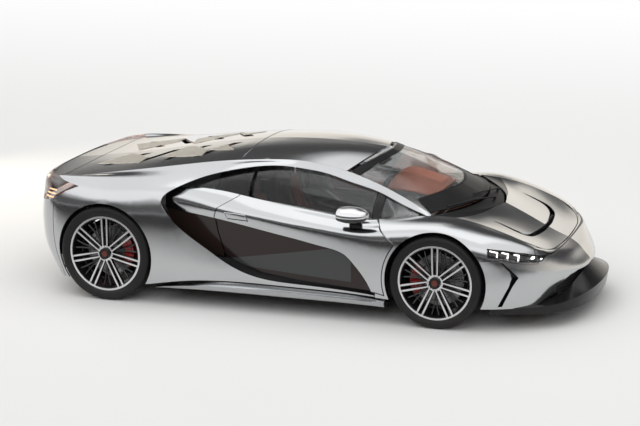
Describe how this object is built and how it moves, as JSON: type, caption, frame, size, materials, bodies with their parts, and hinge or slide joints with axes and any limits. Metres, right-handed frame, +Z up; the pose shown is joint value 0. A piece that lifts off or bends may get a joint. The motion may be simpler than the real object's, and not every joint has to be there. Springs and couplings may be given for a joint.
{
  "type": "mid-engined supercar",
  "caption": "Low two-seat mid-engined supercar with opening doors and lids, steered front wheels and turning wheels.",
  "frame": {"origin": "on the ground under the middle of the overall length, on the centre plane", "axes": "+X towards the nose, +Y to the car's left, +Z up"},
  "size_m": [4.4273, 2.1158, 1.172],
  "materials": {
    "body_paint": "satin silver metallic",
    "dark_panel": "glossy brown black",
    "gloss_black": "gloss black",
    "glass": "clear, light green tint",
    "lamp_glass": "clear lamp lens",
    "tail_lamp_glass": "smoked lamp lens",
    "steel": "brushed",
    "matte_black": "matte",
    "tub_black": "matte carbon composite",
    "engine_metal": "cast",
    "dash_leather": "black leather",
    "seat_leather": "tan leather",
    "suspension_metal": "forged",
    "caliper_red": "gloss red",
    "tyre_rubber": "black rubber",
    "rim_alloy": "machined and dark painted",
    "disc_iron": "turned"
  },
  "bodies": {
    "chassis": {"arch_liners": "matte_black", "centre_console": "dash_leather", "cowl_panel": "gloss_black", "dashboard": "dash_leather", "engine_block": "engine_metal", "exhaust_tips": "steel", "front_bumper": "body_paint", "front_intake_liner": "gloss_black", "front_splitter": "gloss_black", "front_suspension": "suspension_metal", "front_wings": "body_paint", "headlamps": "lamp_glass", "intake_panels": "dark_panel", "luggage_well": "tub_black", "quarter_panels": "body_paint", "rear_bumper": "body_paint", "rear_calipers": "caliper_red", "rear_diffuser": "gloss_black", "rear_grille": "gloss_black", "rear_suspension": "suspension_metal", "roof": "body_paint", "seats": "seat_leather", "side_frames": "body_paint", "side_glass": "glass", "side_skirts": "body_paint", "tail_deck": "body_paint", "tail_lamps": "tail_lamp_glass", "tub": "tub_black", "undertray": "matte_black", "windscreen": "glass", "wipers": "matte_black"},
    "right_door": {"right_door": "body_paint", "right_door_panel": "dark_panel", "right_door_glass": "glass", "right_mirror": "body_paint"},
    "left_door": {"left_door": "body_paint", "left_door_panel": "dark_panel", "left_door_glass": "glass", "left_mirror": "body_paint"},
    "front_lid": {"front_lid": "body_paint"},
    "engine_cover": {"engine_cover": "body_paint"},
    "steering_wheel": {"steering_wheel": "dash_leather"},
    "right_knuckle": {"right_knuckle": "suspension_metal", "right_front_caliper": "caliper_red"},
    "left_knuckle": {"left_knuckle": "suspension_metal", "left_front_caliper": "caliper_red"},
    "right_front_wheel": {"right_front_tyre": "tyre_rubber", "right_front_rim": "rim_alloy", "right_front_disc": "disc_iron"},
    "right_rear_wheel": {"right_rear_tyre": "tyre_rubber", "right_rear_rim": "rim_alloy", "right_rear_disc": "disc_iron"},
    "left_front_wheel": {"left_front_tyre": "tyre_rubber", "left_front_rim": "rim_alloy", "left_front_disc": "disc_iron"},
    "left_rear_wheel": {"left_rear_tyre": "tyre_rubber", "left_rear_rim": "rim_alloy", "left_rear_disc": "disc_iron"}
  },
  "joints": [
    {"name": "right_door_hinge", "type": "hinge", "parent": "chassis", "child": "right_door", "pos_m": [0.852, -0.972, 0.62], "axis": [0, 0.4226, 0.9063], "range_deg": [0, 70]},
    {"name": "left_door_hinge", "type": "hinge", "parent": "chassis", "child": "left_door", "pos_m": [0.852, 0.972, 0.62], "axis": [0, 0.4226, -0.9063], "range_deg": [0, 70]},
    {"name": "front_lid_hinge", "type": "hinge", "parent": "chassis", "child": "front_lid", "pos_m": [1.03, 0, 0.8], "axis": [0, -1, 0], "range_deg": [0, 55]},
    {"name": "engine_cover_hinge", "type": "hinge", "parent": "chassis", "child": "engine_cover", "pos_m": [-0.503, 0, 1.152], "axis": [0, 1, 0], "range_deg": [0, 50]},
    {"name": "steer_right", "type": "hinge", "parent": "chassis", "child": "right_knuckle", "pos_m": [1.15, -0.76895, 0.35], "axis": [0, 0, 1], "range_deg": [-25, 25]},
    {"name": "steer_left", "type": "hinge", "parent": "chassis", "child": "left_knuckle", "pos_m": [1.15, 0.76895, 0.35], "axis": [0, 0, 1], "range_deg": [-25, 25]},
    {"name": "steering_wheel_turn", "type": "hinge", "parent": "chassis", "child": "steering_wheel", "pos_m": [0.335, 0.36, 0.655], "axis": [0.9135, 0, -0.4067], "range_deg": [-350, 350]},
    {"name": "right_front_wheel_spin", "type": "hinge", "parent": "right_knuckle", "child": "right_front_wheel", "pos_m": [1.15, -0.84, 0.35], "axis": [0, 1, 0], "continuous": true},
    {"name": "right_rear_wheel_spin", "type": "hinge", "parent": "chassis", "child": "right_rear_wheel", "pos_m": [-1.5, -0.84, 0.373], "axis": [0, 1, 0], "continuous": true},
    {"name": "left_front_wheel_spin", "type": "hinge", "parent": "left_knuckle", "child": "left_front_wheel", "pos_m": [1.15, 0.84, 0.35], "axis": [0, 1, 0], "continuous": true},
    {"name": "left_rear_wheel_spin", "type": "hinge", "parent": "chassis", "child": "left_rear_wheel", "pos_m": [-1.5, 0.84, 0.373], "axis": [0, 1, 0], "continuous": true}
  ],
  "couplings": [
    {"joint": "steer_left", "follows": "steer_right", "ratio": 1},
    {"joint": "steering_wheel_turn", "follows": "steer_right", "ratio": -14}
  ]
}
